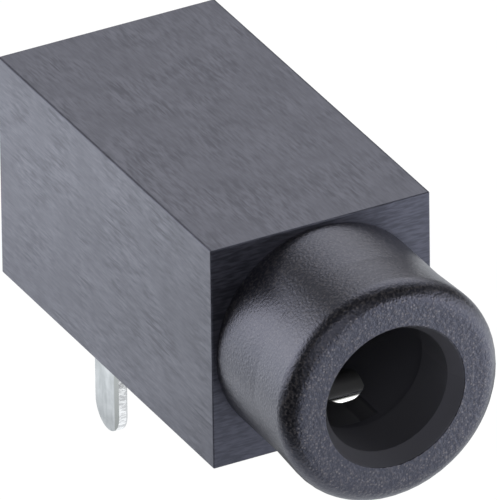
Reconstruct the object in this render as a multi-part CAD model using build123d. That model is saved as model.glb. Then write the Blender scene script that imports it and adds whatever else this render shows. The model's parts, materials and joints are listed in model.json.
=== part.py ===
from build123d import *
from math import cos, radians, sin
import os

# Board mount 3.5 mm audio jack with a plain round nose. Millimetres.
# X runs across the jack, Y from the nose to the back, Z up from the circuit board.
# The origin is the middle of the block's underside, on the board.

# Passage for the plug: a conical lead-in, a guide that fits the plug, and a wider run behind it
bore_radius = 1.8
lead_in_width = 0.25
lead_in_depth = 0.465
mouth_round = 0.05
guide_length = 1.4
passage_relief = 0.2

# Nose that reaches through the panel, a little wider at its rim than at its neck
nose_wall = 1.32
nose_length = 4.05
neck_length = 2.1
rim_flare = 0.11
rim_round = 0.55

# Moulded block, open below until the cover closes it
body_length = 12.0
nose_margin = 0.13
edge_round = 0.04
side_wall = 0.55
front_wall = 0.9
back_wall = 0.8
roof_wall = 0.8
inner_corner = 0.2

# Base cover, with a round bar along its front and back edges that snaps into the block
cover_thickness = 0.8
cover_ledge = 0.15
cover_gap = 0.04
snap_radius = 0.12
snap_width = 3.2
snap_play = 0.03

# Strip that the contacts are stamped from, and the solder blades below the board's surface
strip_thickness = 0.25
strip_play = 0.03
bend_radius = 0.25
terminal_width = 1.35
terminal_length = 3.0
terminal_shoulder = 0.28

# Side contacts: an upright plate beside the side wall, with a leaf bent towards the plug
wall_gap = 0.4
rail_height = 1.3
post_width = 1.1
post_top_gap = 0.45
leaf_height = 1.3
leaf_tip_height = 0.85
leaf_straight = 0.3
leaf_overrun = 0.9
leaf_spread = 0.7
leaf_bend_radius = 0.9
crest_radius = 0.35

# Where the plug meets each spring, from the nose's face, and how far the spring reaches past the bore's wall
tip_depth = 12.2
tip_bite = 0.8
ring_depth = 9.7
ring_bite = 0.35
sleeve_depth = 3.25
sleeve_bite = 0.8

# Where the posts and blades stand: from the block's front face, or from the cavity's back for the ring contact
tip_post = 3.6
tip_terminal = 7.86
sleeve_terminal = 5.6
ring_inset = 0.9

# Sleeve contact: a tongue that lies on the cover, held down by its wings, and rises into the nose
tongue_width = 1.2
tongue_bend = 2.2
tongue_overrun = 0.45
tongue_drop = 0.3
hook_length = 0.3
hook_radius = 0.275
tip_length = 0.06
tip_radius = 0.75
tip_tilt = 30
wing_width = 2.4
wing_start = 2.6
wing_end = 4.7
slot_side_play = 0.15
slot_depth = 0.8
slot_end_play = 0.3

# Ribs inside the block that seat the contacts
bulkhead_thickness = 0.8
hold_down_web = 0.25
pad_thickness = 0.8
holder_depth = 1.2
holder_width = 0.6

# Sizes that follow from the ones above
passage_radius = bore_radius + passage_relief
mouth_radius = bore_radius + lead_in_width
neck_radius = bore_radius + nose_wall
rim_radius = neck_radius + rim_flare
strip_top = cover_thickness + strip_thickness
axis_height = strip_top + hold_down_web + passage_radius
body_width = 2 * (neck_radius + nose_margin)
body_height = axis_height + neck_radius + nose_margin

# Places that follow from them
front = -body_length / 2
back = body_length / 2
nose_face = front - nose_length
cavity_half = body_width / 2 - side_wall
cavity_front = front + front_wall
cavity_back = back - back_wall
cavity_roof = body_height - roof_wall
cover_half = cavity_half + cover_ledge - cover_gap
cover_front = cavity_front - cover_ledge + cover_gap
cover_back = cavity_back + cover_ledge - cover_gap
plate_outer = cavity_half - wall_gap
plate_inner = plate_outer - strip_thickness
post_top = cavity_roof - post_top_gap
tip_post_y = front + tip_post
tip_blade_y = front + tip_terminal
ring_y = cavity_back - ring_inset
sleeve_blade_y = front + sleeve_terminal
sleeve_crest_y = nose_face + sleeve_depth
hook_y = sleeve_crest_y - tongue_overrun
hook_front = hook_y - strip_thickness / 2
tongue_crest_z = axis_height - bore_radius + sleeve_bite - strip_thickness / 2
hook_z = tongue_crest_z - tongue_drop


def around(middle, size):
    """Low and high value of a stretch of this size about its middle."""
    return middle - size / 2, middle + size / 2


def block(xs, ys, zs):
    """Box between two corners, each axis given as its low and high value."""
    size = [high - low for low, high in (xs, ys, zs)]
    middle = [(low + high) / 2 for low, high in (xs, ys, zs)]
    return Pos(*middle) * Box(*size)


def rounded_block(xs, ys, zs, corner):
    """Box with its four upright edges rounded."""
    body = block(xs, ys, zs)
    return fillet(body.edges().filter_by(Axis.Z), corner)


def turned(outline):
    """Solid of an outline of radius and place along Y, turned about the plug's axis."""
    plane = Plane(origin=(0, 0, axis_height), x_dir=(1, 0, 0), z_dir=(0, 0, 1))
    return revolve(plane * outline, Axis((0, 0, axis_height), (0, 1, 0)))


def nose_outside():
    """Neck and rim, from the middle of the block's front wall to the nose's face."""
    root = front + front_wall / 2
    outline = make_face(
        Polyline(
            (0, root),
            (neck_radius, root),
            (neck_radius, front - neck_length),
            (rim_radius, nose_face),
            (0, nose_face),
            close=True,
        )
    )
    rim = outline.vertices().sort_by(Axis.Y)[:2].sort_by(Axis.X)[-1]
    return turned(fillet(rim, rim_round))


def plug_passage():
    """Conical lead-in, guide, and the wider run behind it."""
    guide_start = nose_face + lead_in_depth
    guide_end = guide_start + guide_length
    outline = make_face(
        Polyline(
            (0, nose_face),
            (mouth_radius, nose_face),
            (bore_radius, guide_start),
            (bore_radius, guide_end),
            (passage_radius, guide_end),
            (passage_radius, cavity_front),
            (0, cavity_front),
            close=True,
        )
    )
    return turned(outline)


def tongue_slot():
    """Channel under the passage, in which the sleeve contact's tongue moves."""
    floor = axis_height - bore_radius - slot_depth
    return block(
        around(0, tongue_width + 2 * slot_side_play),
        (hook_front - slot_end_play, cavity_front),
        (floor, axis_height - bore_radius / 2),
    )


def plate_slot(side, ys):
    """Slot for a side contact's plate, tight to its outer face and free at its inner one."""
    xs = sorted((side * plate_outer, side * (plate_inner - strip_play)))
    return block(xs, ys, (cover_thickness, post_top + strip_play))


def housing_ribs():
    """Bulkhead, pad and holder that hang from the roof and seat the contacts."""
    bulkhead = around(tip_post_y, bulkhead_thickness)
    pad = around(tip_blade_y, pad_thickness)
    holder = (cavity_back - holder_depth, cavity_back)
    upright = (cover_thickness, cavity_roof)

    ribs = block((-cavity_half, cavity_half), bulkhead, upright)
    hole = Pos(0, tip_post_y, axis_height) * Rot(X=90)
    ribs -= hole * Cylinder(passage_radius, bulkhead_thickness * 2)
    # gap for the tip contact's leaf, and the low gap that holds the sleeve contact's wings down
    ribs -= block((-plate_inner, 0), bulkhead, around(axis_height, bore_radius))
    ribs -= block(around(0, wing_width + 2 * strip_play), bulkhead, (cover_thickness, strip_top))
    ribs -= plate_slot(-1, bulkhead)

    ribs += block((-cavity_half, -plate_outer), pad, upright)
    ribs += block((plate_inner - holder_width, cavity_half), holder, upright)
    return ribs - plate_slot(1, holder)


def snap_bars(radius):
    """Round bars along the cover's front and back edges."""
    bar = Rot(Y=90) * Cylinder(radius, snap_width)
    return [Pos(0, y, cover_thickness / 2) * bar for y in (cover_front, cover_back)]


def build_housing():
    """One moulding: block, nose, plug passage and the ribs inside."""
    body = block(around(0, body_width), (front, back), (0, body_height))
    body = fillet(body.edges(), edge_round)
    body -= rounded_block(
        around(0, 2 * cavity_half), (cavity_front, cavity_back), (0, cavity_roof), inner_corner
    )
    body -= rounded_block(
        around(0, 2 * (cover_half + cover_gap)),
        (cover_front - cover_gap, cover_back + cover_gap),
        (0, cover_thickness),
        inner_corner,
    )
    body += nose_outside()
    body -= plug_passage()
    body -= tongue_slot()
    body += housing_ribs()
    body -= snap_bars(snap_radius + snap_play)
    face_circles = body.edges().filter_by(GeomType.CIRCLE).group_by(Axis.Y)[0]
    mouth = face_circles.sort_by(lambda edge: edge.radius)[0]
    return fillet(mouth, mouth_round)


def build_cover():
    """Plate with a close slot for each solder blade."""
    cover = rounded_block(
        around(0, 2 * cover_half), (cover_front, cover_back), (0, cover_thickness), inner_corner
    )
    cover += snap_bars(snap_radius)
    slot_width = terminal_width + 2 * strip_play
    slot_gap = strip_thickness + 2 * strip_play
    plate_middle = plate_outer - strip_thickness / 2
    for x, y in ((-plate_middle, tip_blade_y), (plate_middle, ring_y)):
        cover -= block(around(x, slot_gap), around(y, slot_width), (0, cover_thickness))
    cover -= block(around(0, slot_width), around(sleeve_blade_y, slot_gap), (0, cover_thickness))
    # the sleeve slot's front edge is cut back for the inside of that blade's bend
    edge = sleeve_blade_y - slot_gap / 2
    relief = bend_radius + strip_play
    wedge = make_face(
        Polyline(
            (edge, cover_thickness - relief),
            (edge, cover_thickness),
            (edge - relief, cover_thickness),
            close=True,
        )
    )
    return cover - extrude(Plane.YZ * wedge, wing_width / 2 + strip_play, both=True)


def blade_outline(middle, top):
    """Solder blade with a full round end below."""
    round_middle = -terminal_length + terminal_width / 2
    height = top - round_middle
    outline = Pos(middle, round_middle + height / 2) * Rectangle(terminal_width, height)
    return outline + Pos(middle, round_middle) * Circle(terminal_width / 2)


def side_plate(post_y, blade_y):
    """Rail on the cover, upright post and solder blade, flat in one plane of the strip."""
    post = around(post_y, post_width)
    foot = around(blade_y, terminal_width + 2 * terminal_shoulder)
    xs = (0, strip_thickness)
    rail = (min(post[0], foot[0]), min(max(post[1], foot[1]), cavity_back))
    plate = block(xs, rail, (cover_thickness, cover_thickness + rail_height))
    plate += block(xs, post, (cover_thickness, post_top))
    return plate + extrude(Plane.YZ * blade_outline(blade_y, cover_thickness), strip_thickness)


def build_side_contact(side, post_y, blade_y, crest_y, bite):
    """Tip or ring contact: the leaf leaves the post towards its crest, where the plug meets it."""
    towards = 1 if crest_y > post_y else -1
    plate = Pos(plate_inner if side > 0 else -plate_outer, 0, 0) * side_plate(post_y, blade_y)

    # the bent strip seen from above
    plate_middle = plate_outer - strip_thickness / 2
    crest_x = bore_radius - bite + strip_thickness / 2
    free_end = crest_y + towards * leaf_overrun
    path = FilletPolyline(
        (side * plate_middle, post_y),
        (side * plate_middle, post_y + towards * (post_width / 2 + leaf_straight)),
        (side * crest_x, crest_y),
        (side * (crest_x + leaf_spread), free_end),
        radius=[leaf_bend_radius, crest_radius],
    )
    bent = extrude(trace(path, strip_thickness), leaf_height / 2, both=True)
    # the flat blank narrows from the post to the free end
    blank = make_face(
        Polyline(
            (post_y, -leaf_height / 2),
            (post_y, leaf_height / 2),
            (free_end + towards * leaf_straight, leaf_tip_height / 2),
            (free_end + towards * leaf_straight, -leaf_tip_height / 2),
            close=True,
        )
    )
    leaf = bent & extrude(Plane.YZ * blank, body_width, both=True)
    return plate + Pos(0, 0, axis_height) * leaf


def tongue_outline():
    """Tongue seen square to its hooked end, which is cut to a broad round."""
    lean = radians(tip_tilt)
    plane = Plane(
        origin=(0, hook_front, hook_z - tip_length),
        x_dir=(1, 0, 0),
        z_dir=(0, -cos(lean), sin(lean)),
    )
    tip = Pos(0, tip_radius) * Circle(tip_radius)
    rest = Pos(0, tip_radius + body_length / 2) * Rectangle(2 * tip_radius, body_length)
    outline = (tip + rest) & (Pos(0, body_length / 2) * Rectangle(tongue_width, body_length))
    return extrude(plane * outline, body_length, both=True)


def build_sleeve_contact():
    """Tongue on the cover, held by its wings, with its solder blade bent down behind."""
    strip_middle = cover_thickness + strip_thickness / 2
    tail_low = cover_thickness - terminal_width
    path = FilletPolyline(
        (sleeve_blade_y, tail_low),
        (sleeve_blade_y, strip_middle),
        (front + tongue_bend, strip_middle),
        (sleeve_crest_y, tongue_crest_z),
        (hook_y, hook_z),
        (hook_y, hook_z - hook_length),
        radius=[bend_radius + strip_thickness / 2, leaf_bend_radius, crest_radius, hook_radius],
    )
    bent = extrude(Plane.YZ * trace(path, strip_thickness), wing_width / 2, both=True)
    wing_back = front + wing_end
    blank = tongue_outline()
    blank += block(around(0, wing_width), (front + wing_start, wing_back), (0, axis_height))
    blank += block(around(0, terminal_width), (wing_back, back), (tail_low, axis_height))
    blade = Plane.XZ.offset(-sleeve_blade_y) * blade_outline(0, tail_low)
    return (bent & blank) + extrude(blade, strip_thickness / 2, both=True)


parts = {
    "housing": build_housing(),
    "base_cover": build_cover(),
    "tip_contact": build_side_contact(-1, tip_post_y, tip_blade_y, nose_face + tip_depth, tip_bite),
    "ring_contact": build_side_contact(1, ring_y, ring_y, nose_face + ring_depth, ring_bite),
    "sleeve_contact": build_sleeve_contact(),
}

os.makedirs("parts", exist_ok=True)
for name, solid in parts.items():
    export_step(solid, f"parts/{name}.step")
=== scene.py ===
import json
import math

import bpy
from mathutils import Matrix, Vector


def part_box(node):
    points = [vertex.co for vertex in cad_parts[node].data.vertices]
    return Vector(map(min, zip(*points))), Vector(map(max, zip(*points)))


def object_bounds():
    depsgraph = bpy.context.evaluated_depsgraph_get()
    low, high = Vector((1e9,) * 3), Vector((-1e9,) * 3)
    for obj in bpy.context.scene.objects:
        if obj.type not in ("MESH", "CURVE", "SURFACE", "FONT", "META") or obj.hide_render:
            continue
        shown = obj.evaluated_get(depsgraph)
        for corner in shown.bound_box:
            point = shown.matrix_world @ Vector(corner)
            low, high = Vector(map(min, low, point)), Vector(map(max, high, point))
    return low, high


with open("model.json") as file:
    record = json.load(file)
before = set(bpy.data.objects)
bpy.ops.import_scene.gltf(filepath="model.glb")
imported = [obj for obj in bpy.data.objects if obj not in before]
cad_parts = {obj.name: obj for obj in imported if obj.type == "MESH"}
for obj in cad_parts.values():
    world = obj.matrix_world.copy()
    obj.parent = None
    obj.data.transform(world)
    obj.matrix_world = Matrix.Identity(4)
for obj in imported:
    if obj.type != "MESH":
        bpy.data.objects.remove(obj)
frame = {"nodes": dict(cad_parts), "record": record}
cad_low, cad_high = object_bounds()

# Places read from the frame, in millimetres
MM = 0.001
housing_low, housing_high = (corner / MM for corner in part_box("housing"))
mounts = {mount["name"]: mount for mount in frame["record"]["mounts"]}
axis_height = mounts["plug_bore"]["pos_m"][2] / MM
bore_radius = mounts["plug_bore"]["dims"]["r_mm"]
neck_radius = mounts["panel_nose"]["dims"]["r_mm"]
block_front = mounts["panel_face"]["pos_m"][1] / MM
blade_side = abs(mounts["tip_terminal"]["pos_m"][0]) / MM
blade_depths = [mounts[name]["pos_m"][1] / MM for name in ("tip_terminal", "ring_terminal")]
nose_face = housing_low.y
floor_height = cad_low.z / MM

# Sizes that no mount states, in millimetres
BLADE_WIDTH = 1.35
STRIP_THICKNESS = 0.25
MOUTH_PAST_BORE = 0.26

# Camera, fitted to the object's outline and the mouth's ellipse in the photograph
CAMERA_AZIMUTH = -27.70
CAMERA_ELEVATION = 29.55
CAMERA_ROLL = -0.81
CAMERA_DISTANCE = 0.5481
CAMERA_LENS = 1500.0
CAMERA_SENSOR = 36.0
CAMERA_CLIP = (0.01, 10.0)
CAMERA_AIM = (0.000064, -0.00182, 0.003615)

# Studio: soft lights, each given by azimuth, elevation, half width and strength
SOFT_LIGHTS = {
    "low_front": (0.0, 0.0, 30.0, 0.8),
    "low_front_right": (35.0, 0.0, 30.0, 2.2),
    "low_right": (65.0, 0.0, 30.0, 1.9),
    "back_left": (225.0, 10.0, 40.0, 3.1),
    "back_right": (140.0, 45.0, 40.0, 2.03),
    "fill": (333.0, 33.0, 30.0, 1.1),
}
BACKDROP_SEEN_STRENGTH = 1.0

# Table: its reach in metres, and how much of it is plain white to the camera and to reflections
FLOOR_HALF = 3.0
FLOOR_GREY = (0.8, 0.8, 0.8, 1.0)
FLOOR_SEEN_SHARE = 0.95
FLOOR_SEEN_STRENGTH = 1.06
WHITE = (1.0, 1.0, 1.0, 1.0)

# The table as the object mirrors it: level and tint, seen from a middle in millimetres
TABLE_MIDDLE = (0.0, -2.0)
TABLE_WHITE = 1.12
TABLE_TINT = (0.955, 0.985, 1.02, 1.0)

# Wide glows on it, each given by azimuth, strength and the distances between which it comes up
TABLE_GLOWS = {
    "left": (225.0, 0.55, (4.0, 8.0)),
    "far_back_left": (205.0, 0.5, (14.0, 18.0)),
    "front_right": (56.0, 1.0, (9.0, 18.0)),
}
GLOW_HALF_WIDTH = 45.0

# Unlit ground past the object's left side, which fades in between two half widths and two distances
UNLIT_AZIMUTH = 292.0
UNLIT_HALF_WIDTHS = (67.0, 30.0)
UNLIT_START = (8.0, 14.0)

# The object's own shade, as boxes with a soft border: middle and half size in millimetres
SHADES = {
    "under_nose": ((3.4, -4.0), (5.9, 1.6)),
    "past_right_side": ((8.5, 1.0), (3.5, 6.0)),
}
SHADE_REACH = 1.4
SHADE_LEFT = 0.1

# Borders between the housing's finishes, each as two places in millimetres between which it changes
NOSE_END_PAST_FRONT = (-0.03, -0.005)
PASSAGE_WIDENS_PAST_FACE = (0.6, 0.8)
PASSAGE_TURNS_DEEP_PAST_FACE = (1.6, 2.2)
PASSAGE_ENDS_PAST_FRONT = (1.0, 1.2)
PASSAGE_BORDER = (-0.02, 0.0)
NECK_SKIN = 0.2
SLOT_BORDER_PAST_MOUTH = (0.0, 0.1)
TOP_FACE_PAST_TOP = (-0.02, -0.005)
EDGE_BAND_FROM_SIDE = (0.048, 0.08)

# How far a surface faces one way, from 0 to 1, where its finish changes
BLOCK_END_FACING = (0.4, 0.6)
RING_FACING = (0.75, 0.97)

# Colours of the black plastic, with a painted bluish tint in its reflections, painted glints among the
# nose's pale specks and painted light in the passage
PLASTIC_GLOSS = 1.0
# Painted bluish tint in the plastic's reflections
PAINTED_REFLECTION_TINT = (0.745, 0.765, 1.0, 1.0)
DARK_PLASTIC = (0.005, 0.005, 0.0065, 1.0)
PALE_PLASTIC = (0.046, 0.0465, 0.060, 1.0)
# Pale specks of the nose's grain, which also carry its painted glints
PALE_SPECK_AND_GLINT = (0.160, 0.145, 0.140, 1.0)
# Painted light: the passage, its depth and its slot are far paler than the black plastic, to lift their
# shade
PASSAGE_PAINTED_LIGHT = (0.12, 0.12, 0.137, 1.0)
DEEP_PAINTED_LIGHT = (0.12, 0.12, 0.14, 1.0)
SLOT_PAINTED_LIGHT = (0.24, 0.24, 0.26, 1.0)

# Drawn lines on the block: each noise by its grains to the millimetre, detail and roughness
FINE_LINES = (14.0, 1.0, 0.5)
BROAD_LINES = (5.0, 2.0, 0.5)
SCRATCH_LINES = (9.0, 1.0, 0.5)
WORN_PATCHES = (0.6, 2.0, 0.5)
CLOUDS = (1.1, 3.0, 0.6)
NOISE_MIDDLE = 0.5
STREAK_STRETCH = 0.18
SCRATCH_STRETCH = 0.06
FINE_SHARE = 0.6
BROAD_SHARE = 0.4
CLOUD_SHARE = 0.3
SCRATCH_CUT = (0.63, 0.75)
SCRATCHED_PATCH_CUT = (0.48, 0.62)
SCRATCH_DEPTH = 0.45
WORN_PATCH_CUT = (0.35, 0.65)
WORN_PATCH_STRENGTH = (0.45, 1.4)
BLOCK_END_STRENGTH = 2.4
TONE_CUT = (0.2, 0.8)

# Grain of the nose: noises as above, and sparkling dots of painted glint by their cells to the
# millimetre
NECK_GRAIN = (13.0, 1.0, 0.5)
NECK_GRAIN_CUT = (0.42, 0.72)
NECK_GRAIN_SHARE = 0.3
NECK_SPARKLE = 13.0
NECK_SPARKLE_SHARE = 0.3
RING_GRAIN = (11.0, 1.0, 0.5)
RING_GRAIN_CUT = (0.45, 0.8)
RING_GRAIN_SHARE = 0.4
RING_SPARKLE = 12.0
DOT_FADE = (0.2, 0.5)
DOT_LUCK = (0.2, 1.0)

# Roughness of the black plastic, from dark to pale lines on the block
LINE_ROUGH = (0.46, 0.34)
NECK_ROUGH = 0.36
RING_ROUGH = 0.34
WORN_EDGE_ROUGH = 0.62
PASSAGE_ROUGH = 0.3

# Heights of the black plastic's marks, in millimetres, and the neck's share of the grain's
LINE_BUMP = 0.006
GRAIN_BUMP = 0.03
NECK_BUMP_SHARE = 0.35

# Look of the cover
COVER_DARK = (0.026, 0.026, 0.029, 1.0)
COVER_PALE = (0.04, 0.041, 0.045, 1.0)
FLOW_STRETCH = (1.0, 0.3, 1.0)
FLOW_MARKS = (1.2, 3.0, 0.6)
COVER_GRAIN = (12.0, 2.0, 0.5)
COVER_ROUGH = (0.35, 0.5)
COVER_BUMP = 0.01

# Borders between the contacts' finishes, in millimetres, and then by how far a surface faces one way
BLADE_TOP = (-0.1, 0.1)
DIE_ROLL_START = (-0.02, 0.0)
DIE_ROLL_END = (0.24, 0.3)
TORN_RIM_START = (-0.02, -0.01)
TORN_RIM_END = (0.025, 0.05)
SIDE_FACING = (0.3, 0.7)
LYING_FACING = (0.62, 0.75)

# Colours of the contacts' strip
DULL_TIN_DARK = (0.335, 0.35, 0.355, 1.0)
DULL_TIN_PALE = (0.50, 0.515, 0.52, 1.0)
# Painted shade on the die roll beside each blade's front edge
DIE_ROLL_PAINTED_SHADE = (0.28, 0.29, 0.28, 1.0)
SHEARED_DARK = (0.60, 0.60, 0.60, 1.0)
SHEARED_BRIGHT = (0.96, 0.96, 0.95, 1.0)
TORN_METAL = (0.62, 0.62, 0.62, 1.0)
SPRING_METAL = (0.90, 0.90, 0.88, 1.0)
# Painted shade: the leaves' faces that lie flat are darker than the same metal on their steep faces
LYING_PAINTED_SHADE = (0.50, 0.50, 0.49, 1.0)

# Marks, roughness and heights of the contacts' strip
MOTTLE = (1.6, 3.0, 0.6)
MOTTLE_SHARE = 0.6
MOTTLE_BUMP_SHARE = 0.3
ROLLED_MARKS = (7.0, 2.0, 0.6)
ROLLED_STRETCH = (1.0, 1.0, 0.12)
ROLLED_SHARE = 0.4
DULL_TIN_CUT = (0.3, 0.7)
SHEARED_MARKS = (2.0, 3.0, 0.7)
SHEARED_STRETCH = (1.5, 2.0, 5.0)
SHEARED_CUT = (0.40, 0.60)
DULL_ROUGH = (0.42, 0.30)
SHEARED_ROUGH = 0.25
SPRING_ROUGH = 0.13
LYING_ROUGH = 0.5
STRIP_BUMP = 0.01

# The mix node's sockets for each kind of value: first input, second input and output
MIX_SOCKETS = {"FLOAT": (2, 3, 0), "VECTOR": (4, 5, 1), "RGBA": (6, 7, 2)}


def direction_to(azimuth, elevation=0.0):
    """Unit vector towards an azimuth, from 0 at the nose's side to 90 at the right, and an elevation."""
    turn = math.radians(azimuth)
    rise = math.radians(elevation)
    level = math.cos(rise)
    return Vector((math.sin(turn) * level, -math.cos(turn) * level, math.sin(rise)))


def make_camera():
    """Long lens at the photograph's viewing angle."""
    data = bpy.data.cameras.new("camera")
    data.lens = CAMERA_LENS
    data.sensor_width = CAMERA_SENSOR
    data.clip_start, data.clip_end = CAMERA_CLIP
    camera = bpy.data.objects.new("camera", data)
    bpy.context.scene.collection.objects.link(camera)
    back = direction_to(CAMERA_AZIMUTH, CAMERA_ELEVATION)
    turn = back.to_track_quat("Z", "Y").to_matrix().to_4x4()
    roll = Matrix.Rotation(math.radians(CAMERA_ROLL), 4, "Z")
    place = Matrix.Translation(Vector(CAMERA_AIM) + back * CAMERA_DISTANCE)
    camera.matrix_world = place @ turn @ roll
    bpy.context.scene.camera = camera


class Nodes:
    """Short way to write one material's node tree."""

    def __init__(self, tree):
        self.tree = tree
        tree.nodes.clear()

    def add(self, kind, inputs=None, **settings):
        """New node with its settings, and its inputs linked or set."""
        made = self.tree.nodes.new(kind)
        for name, value in settings.items():
            setattr(made, name, value)
        for name, value in (inputs or {}).items():
            self.feed(made.inputs[name], value)
        return made

    def feed(self, socket, value):
        """Link a socket to an output, or set its own value."""
        if isinstance(value, bpy.types.NodeSocket):
            self.tree.links.new(value, socket)
        else:
            socket.default_value = value

    def math(self, operation, first, second=0.0):
        """Number that an operation gives."""
        return self.add("ShaderNodeMath", {0: first, 1: second}, operation=operation).outputs[0]

    def plus(self, first, second):
        return self.math("ADD", first, second)

    def minus(self, first, second):
        return self.math("SUBTRACT", first, second)

    def times(self, first, second):
        return self.math("MULTIPLY", first, second)

    def vector(self, operation, first, second=(0.0, 0.0, 0.0), output="Vector"):
        """Vector that an operation gives, or its number where the output is Value."""
        made = self.add("ShaderNodeVectorMath", {0: first, 1: second}, operation=operation)
        return made.outputs[output]

    def parts(self, vector):
        """The three numbers of a vector."""
        return tuple(self.add("ShaderNodeSeparateXYZ", {0: vector}).outputs)

    def step(self, value, low, high, start=0.0, end=1.0):
        """Smooth change from start to end while value goes from low to high."""
        made = self.add(
            "ShaderNodeMapRange",
            {"Value": value, "From Min": low, "From Max": high, "To Min": start, "To Max": end},
            interpolation_type="SMOOTHSTEP",
        )
        return made.outputs[0]

    def fall(self, value, low, high):
        """Smooth change from 1 to 0 while value goes from low to high."""
        return self.step(value, low, high, 1.0, 0.0)

    def band(self, value, start, end):
        """Share that comes up while value passes the start, and goes while it passes the end."""
        return self.times(self.step(value, *start), self.fall(value, *end))

    def noise(self, vector, scale, detail, roughness):
        """Noise from 0 to 1 at a number of grains to the millimetre."""
        made = self.add(
            "ShaderNodeTexNoise",
            {"Vector": vector, "Scale": scale, "Detail": detail, "Roughness": roughness},
        )
        return made.outputs["Fac"]

    def mix(self, share, first, second, kind="FLOAT"):
        """Value that goes from first to second with share."""
        first_input, second_input, output = MIX_SOCKETS[kind]
        inputs = {0: share, first_input: first, second_input: second}
        return self.add("ShaderNodeMix", inputs, data_type=kind).outputs[output]

    def colour(self, share, first, second):
        return self.mix(share, first, second, "RGBA")

    def weighted_sum(self, terms):
        """Sum of values, each with its share."""
        total = None
        for value, share in terms:
            part = self.times(value, share)
            total = part if total is None else self.plus(total, part)
        return total

    def bump(self, height, millimetres, normal=None):
        """Bump whose height of 1 stands for a number of millimetres, over a normal if there is one."""
        inputs = {"Height": height, "Distance": millimetres * MM}
        if normal is not None:
            inputs["Normal"] = normal
        return self.add("ShaderNodeBump", inputs).outputs[0]


def new_material(name):
    material = bpy.data.materials.new(name)
    material.use_nodes = True
    return material, Nodes(material.node_tree)


def surface(nodes, **inputs):
    """Principled shader to the material's output."""
    named = {name.replace("_", " "): value for name, value in inputs.items()}
    shader = nodes.add("ShaderNodeBsdfPrincipled", named)
    nodes.add("ShaderNodeOutputMaterial", {"Surface": shader.outputs[0]})


def place_in_mm(nodes):
    """Position on the object in millimetres."""
    position = nodes.add("ShaderNodeTexCoord").outputs["Object"]
    return nodes.vector("MULTIPLY", position, (1 / MM,) * 3)


def facing(nodes):
    """How far the surface faces along each of the object's three directions, from 0 to 1."""
    normal = nodes.add("ShaderNodeTexCoord").outputs["Normal"]
    return nodes.parts(nodes.vector("ABSOLUTE", normal))


def streak_tone(nodes, position, facing_y):
    """Short drawn lines in worn patches: along the block on its sides and top, across it on its ends."""
    on_end = nodes.step(facing_y, *BLOCK_END_FACING)

    def drawn_out(stretch):
        along_depth = nodes.vector("MULTIPLY", position, (1.0, stretch, 1.0))
        along_width = nodes.vector("MULTIPLY", position, (stretch, 1.0, 1.0))
        return nodes.mix(on_end, along_depth, along_width, "VECTOR")

    fine = nodes.noise(drawn_out(STREAK_STRETCH), *FINE_LINES)
    broad = nodes.noise(drawn_out(STREAK_STRETCH), *BROAD_LINES)
    scratches = nodes.step(nodes.noise(drawn_out(SCRATCH_STRETCH), *SCRATCH_LINES), *SCRATCH_CUT)
    worn = nodes.noise(position, *WORN_PATCHES)
    patches = nodes.step(worn, *WORN_PATCH_CUT, *WORN_PATCH_STRENGTH)
    scratched = nodes.step(worn, *SCRATCHED_PATCH_CUT, 0.0, SCRATCH_DEPTH)
    lines = nodes.weighted_sum(((fine, FINE_SHARE), (broad, BROAD_SHARE)))
    strength = nodes.mix(on_end, patches, BLOCK_END_STRENGTH)
    lines = nodes.times(nodes.minus(lines, NOISE_MIDDLE), strength)
    cloud = nodes.noise(position, *CLOUDS)
    cloud = nodes.times(nodes.minus(cloud, NOISE_MIDDLE), CLOUD_SHARE)
    tone = nodes.plus(nodes.plus(lines, cloud), NOISE_MIDDLE)
    tone = nodes.minus(tone, nodes.times(scratches, scratched))
    return nodes.step(tone, *TONE_CUT), fine


def painted_sparkle(nodes, position, scale):
    """Painted glints: small bright dots of uneven strength in the colour, as the spark-eroded grain
    sparkles.
    """
    cells = nodes.add("ShaderNodeTexVoronoi", {"Vector": position, "Scale": scale}).outputs
    dot = nodes.fall(cells["Distance"], *DOT_FADE)
    luck = nodes.parts(cells["Color"])[0]
    return nodes.times(dot, nodes.step(luck, *DOT_LUCK))


def worn_edge(nodes, x, z):
    """Narrow rough band on the top face beside its two long edges."""
    from_side = nodes.minus(housing_high.x, nodes.math("ABSOLUTE", x))
    on_top = nodes.step(nodes.minus(z, housing_high.z), *TOP_FACE_PAST_TOP)
    return nodes.times(on_top, nodes.fall(from_side, *EDGE_BAND_FROM_SIDE))


def passage_share(nodes, past_face, past_front, radius, mouth_radius):
    """Share of the passage's finish: as wide as the mouth at first, and as the slot needs behind it."""
    widest = nodes.step(past_face, *PASSAGE_WIDENS_PAST_FACE, mouth_radius, neck_radius - NECK_SKIN)
    inside = nodes.fall(nodes.minus(radius, widest), *PASSAGE_BORDER)
    return nodes.times(inside, nodes.fall(past_front, *PASSAGE_ENDS_PAST_FRONT))


def passage_painted_light(nodes, past_face, past_mouth):
    """The passage's colour, far paler than the black plastic with painted light, which turns towards its
    depth and in the slot.
    """
    deep = nodes.step(past_face, *PASSAGE_TURNS_DEEP_PAST_FACE)
    colour = nodes.colour(deep, PASSAGE_PAINTED_LIGHT, DEEP_PAINTED_LIGHT)
    return nodes.colour(nodes.step(past_mouth, *SLOT_BORDER_PAST_MOUTH), colour, SLOT_PAINTED_LIGHT)


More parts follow.
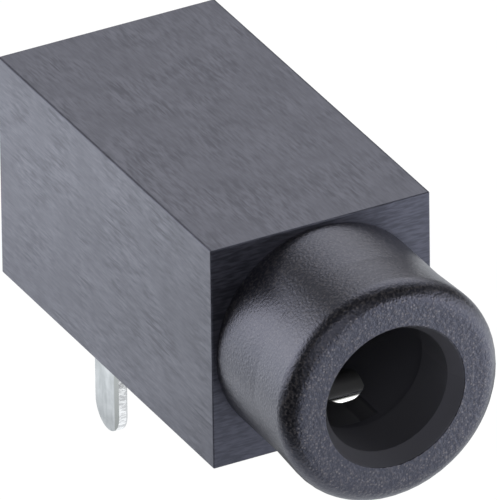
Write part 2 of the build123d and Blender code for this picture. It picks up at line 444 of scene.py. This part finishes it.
def grain_specks_and_glints(nodes, position, on_ring):
    """Pale specks of the nose's grain tone with painted glints among them, and its height: soft and fine
    on the neck, sparkling on the ring.
    """
    neck_grain = nodes.noise(position, *NECK_GRAIN)
    ring_grain = nodes.noise(position, *RING_GRAIN)
    soft = nodes.times(nodes.step(neck_grain, *NECK_GRAIN_CUT), NECK_GRAIN_SHARE)
    faint = nodes.times(painted_sparkle(nodes, position, NECK_SPARKLE), NECK_SPARKLE_SHARE)
    strong = nodes.times(nodes.step(ring_grain, *RING_GRAIN_CUT), RING_GRAIN_SHARE)
    bright = painted_sparkle(nodes, position, RING_SPARKLE)
    specks_and_glints = nodes.mix(on_ring, nodes.plus(soft, faint), nodes.plus(strong, bright))
    height = nodes.mix(on_ring, nodes.times(neck_grain, NECK_BUMP_SHARE), ring_grain)
    return specks_and_glints, height


def housing_material():
    """Black plastic with a painted bluish tint in its reflections: drawn lines on the block,
    spark-eroded grain with painted glints on the nose, and a smooth passage made paler with painted
    light.
    """
    material, nodes = new_material("black_moulding")
    position = place_in_mm(nodes)
    x, y, z = nodes.parts(position)
    facing_y = facing(nodes)[1]

    # where each finish lies
    past_face = nodes.minus(y, nose_face)
    past_front = nodes.minus(y, block_front)
    height = nodes.minus(z, axis_height)
    radius = nodes.math("SQRT", nodes.plus(nodes.times(x, x), nodes.times(height, height)))
    mouth_radius = bore_radius + MOUTH_PAST_BORE
    on_nose = nodes.fall(past_front, *NOSE_END_PAST_FRONT)
    on_ring = nodes.times(on_nose, nodes.step(facing_y, *RING_FACING))
    in_passage = passage_share(nodes, past_face, past_front, radius, mouth_radius)

    # colour and roughness
    streaks, line_height = streak_tone(nodes, position, facing_y)
    specks_and_glints, grain_height = grain_specks_and_glints(nodes, position, on_ring)
    block = nodes.colour(streaks, DARK_PLASTIC, PALE_PLASTIC)
    nose = nodes.colour(specks_and_glints, DARK_PLASTIC, PALE_SPECK_AND_GLINT)
    # the passage is paler with painted light
    passage = passage_painted_light(nodes, past_face, nodes.minus(radius, mouth_radius))
    base = nodes.colour(in_passage, nodes.colour(on_nose, block, nose), passage)
    nose_rough = nodes.mix(on_ring, NECK_ROUGH, RING_ROUGH)
    rough = nodes.mix(on_nose, nodes.mix(streaks, *LINE_ROUGH), nose_rough)
    rough = nodes.mix(worn_edge(nodes, x, z), rough, WORN_EDGE_ROUGH)
    rough = nodes.mix(in_passage, rough, PASSAGE_ROUGH)

    # height
    grained = nodes.times(on_nose, nodes.minus(1.0, in_passage))
    normal = nodes.bump(nodes.times(line_height, nodes.minus(1.0, on_nose)), LINE_BUMP)
    normal = nodes.bump(nodes.times(grain_height, grained), GRAIN_BUMP, normal)
    surface(
        nodes,
        Base_Color=base,
        Roughness=rough,
        Normal=normal,
        Specular_IOR_Level=PLASTIC_GLOSS,
        Specular_Tint=PAINTED_REFLECTION_TINT,
    )
    return material


def cover_material():
    """The cover's satin plastic with faint flow marks."""
    material, nodes = new_material("satin_moulding")
    position = place_in_mm(nodes)
    flow = nodes.noise(nodes.vector("MULTIPLY", position, FLOW_STRETCH), *FLOW_MARKS)
    grain = nodes.noise(position, *COVER_GRAIN)
    base = nodes.colour(flow, COVER_DARK, COVER_PALE)
    rough = nodes.mix(grain, *COVER_ROUGH)
    surface(nodes, Base_Color=base, Roughness=rough, Normal=nodes.bump(grain, COVER_BUMP))
    return material


def die_roll_painted_shade(nodes, y):
    """Strip beside the front edge of each side blade, which the punch drew down, darkened with painted
    shade for its rounding.
    """
    rolls = []
    for middle in blade_depths:
        from_edge = nodes.minus(y, middle - BLADE_WIDTH / 2)
        rolls.append(nodes.band(from_edge, DIE_ROLL_START, DIE_ROLL_END))
    return nodes.math("MAXIMUM", *rolls)


def torn_rim(nodes, x):
    """Narrow line on the sheared edges beside the side blades' inner faces, where the strip tore."""
    inner_face = blade_side - STRIP_THICKNESS / 2
    outward = nodes.minus(nodes.math("ABSOLUTE", x), inner_face)
    return nodes.band(outward, TORN_RIM_START, TORN_RIM_END)


def contact_material():
    """Strip metal: bright where it springs, with painted shade where its leaves lie flat, and dull
    tinned blades with bright sheared edges and painted shade on their die roll.
    """
    material, nodes = new_material("tinned_strip")
    position = place_in_mm(nodes)
    x, y, z = nodes.parts(position)
    facing_x, _, facing_z = facing(nodes)
    sheared = nodes.fall(facing_x, *SIDE_FACING)
    lying = nodes.step(facing_z, *LYING_FACING)
    blade = nodes.fall(z, *BLADE_TOP)

    # the blades' dull faces, and their sheared edges
    mottle = nodes.noise(position, *MOTTLE)
    rolled = nodes.noise(nodes.vector("MULTIPLY", position, ROLLED_STRETCH), *ROLLED_MARKS)
    marks = nodes.weighted_sum(((mottle, MOTTLE_SHARE), (rolled, ROLLED_SHARE)))
    grooves = nodes.noise(nodes.vector("MULTIPLY", position, SHEARED_STRETCH), *SHEARED_MARKS)
    dull = nodes.colour(nodes.step(marks, *DULL_TIN_CUT), DULL_TIN_DARK, DULL_TIN_PALE)
    # the die roll is darkened with painted shade
    dull = nodes.colour(die_roll_painted_shade(nodes, y), dull, DIE_ROLL_PAINTED_SHADE)
    bright = nodes.colour(nodes.step(grooves, *SHEARED_CUT), SHEARED_DARK, SHEARED_BRIGHT)
    bright = nodes.colour(torn_rim(nodes, x), bright, TORN_METAL)
    blade_rough = nodes.mix(sheared, nodes.mix(mottle, *DULL_ROUGH), SHEARED_ROUGH)

    # the leaves above them, darker with painted shade where they lie flat, and both together
    spring = nodes.colour(lying, SPRING_METAL, LYING_PAINTED_SHADE)
    spring_rough = nodes.mix(lying, SPRING_ROUGH, LYING_ROUGH)
    base = nodes.colour(blade, spring, nodes.colour(sheared, dull, bright))
    rough = nodes.mix(blade, spring_rough, blade_rough)
    height = nodes.mix(sheared, nodes.times(mottle, MOTTLE_BUMP_SHARE), grooves)
    normal = nodes.bump(nodes.times(height, blade), STRIP_BUMP)
    surface(nodes, Base_Color=base, Metallic=1.0, Roughness=rough, Normal=normal)
    return material


def nearness(nodes, direction, middle, edge, core=0.0):
    """Share that comes up as a direction turns to the middle one, between two angles in degrees."""
    along = nodes.vector("DOT_PRODUCT", direction, middle, "Value")
    return nodes.step(along, math.cos(math.radians(edge)), math.cos(math.radians(core)))


def table_brightness(nodes):
    """How bright the table is as the object mirrors it."""
    position = place_in_mm(nodes)
    offset = nodes.vector("SUBTRACT", position, (*TABLE_MIDDLE, floor_height))
    towards = nodes.vector("NORMALIZE", offset)
    distance = nodes.vector("LENGTH", offset, output="Value")

    def sector(azimuth, start, edge, core=0.0):
        turned = nearness(nodes, towards, direction_to(azimuth), edge, core)
        return nodes.times(turned, nodes.step(distance, *start))

    unlit = sector(UNLIT_AZIMUTH, UNLIT_START, *UNLIT_HALF_WIDTHS)
    terms = [(nodes.minus(1.0, unlit), TABLE_WHITE)]
    for azimuth, strength, start in TABLE_GLOWS.values():
        terms.append((sector(azimuth, start, GLOW_HALF_WIDTH), strength))
    return nodes.times(nodes.weighted_sum(terms), light_past_shades(nodes, position))


def light_past_shades(nodes, position):
    """Share of the light that reaches the table: little in the object's shade, all a short way off."""
    shares = []
    for middle, half_size in SHADES.values():
        offset = nodes.vector("SUBTRACT", position, (*middle, floor_height))
        past = nodes.vector("SUBTRACT", nodes.vector("ABSOLUTE", offset), (*half_size, 0.0))
        distance = nodes.vector("LENGTH", nodes.vector("MAXIMUM", past), output="Value")
        shares.append(nodes.step(distance, 0.0, SHADE_REACH, SHADE_LEFT, 1.0))
    return nodes.math("MINIMUM", *shares)


def floor_material():
    """White floor that keeps a faint shadow."""
    material, nodes = new_material("white_floor")
    rays = nodes.add("ShaderNodeLightPath").outputs
    from_camera = rays["Is Camera Ray"]
    mirrored = nodes.math("MAXIMUM", rays["Is Glossy Ray"], rays["Is Transmission Ray"])
    seen = nodes.math("MAXIMUM", from_camera, mirrored)
    strength = nodes.mix(from_camera, table_brightness(nodes), FLOOR_SEEN_STRENGTH)
    tint = nodes.colour(from_camera, TABLE_TINT, WHITE)
    plain = nodes.add("ShaderNodeBsdfDiffuse", {"Color": FLOOR_GREY})
    glowing = nodes.add("ShaderNodeEmission", {"Color": tint, "Strength": strength})
    share = nodes.times(seen, FLOOR_SEEN_SHARE)
    mixed = nodes.add("ShaderNodeMixShader", {0: share, 1: plain.outputs[0], 2: glowing.outputs[0]})
    nodes.add("ShaderNodeOutputMaterial", {"Surface": mixed.outputs[0]})
    return material


def make_floor():
    """Wide table under the solder blades."""
    corners = [(-1, -1), (1, -1), (1, 1), (-1, 1)]
    mesh = bpy.data.meshes.new("floor")
    points = [(FLOOR_HALF * x, FLOOR_HALF * y, cad_low.z) for x, y in corners]
    mesh.from_pydata(points, [], [(0, 1, 2, 3)])
    mesh.materials.append(floor_material())
    floor = bpy.data.objects.new("floor", mesh)
    bpy.context.scene.collection.objects.link(floor)


def make_lights():
    """Dark room with a few wide soft lights, and white behind the object for the camera."""
    world = bpy.data.worlds.new("room")
    world.use_nodes = True
    nodes = Nodes(world.node_tree)
    direction = nodes.add("ShaderNodeTexCoord").outputs["Generated"]
    terms = []
    for azimuth, elevation, half_width, strength in SOFT_LIGHTS.values():
        middle = direction_to(azimuth, elevation)
        terms.append((nearness(nodes, direction, middle, half_width), strength))
    from_camera = nodes.add("ShaderNodeLightPath").outputs["Is Camera Ray"]
    strength = nodes.mix(from_camera, nodes.weighted_sum(terms), BACKDROP_SEEN_STRENGTH)
    light = nodes.add("ShaderNodeBackground", {"Color": WHITE, "Strength": strength})
    nodes.add("ShaderNodeOutputWorld", {"Surface": light.outputs[0]})
    bpy.context.scene.world = world
    bpy.context.scene.view_settings.view_transform = "Standard"


def dress(node, material):
    """Give a carried-over solid its finish."""
    piece = frame["nodes"][node]
    for place in piece.material_slots:
        place.material = material


make_camera()
dress("housing", housing_material())
dress("base_cover", cover_material())
tinned = contact_material()
for contact in ("tip_contact", "ring_contact", "sleeve_contact"):
    dress(contact, tinned)
make_floor()
make_lights()
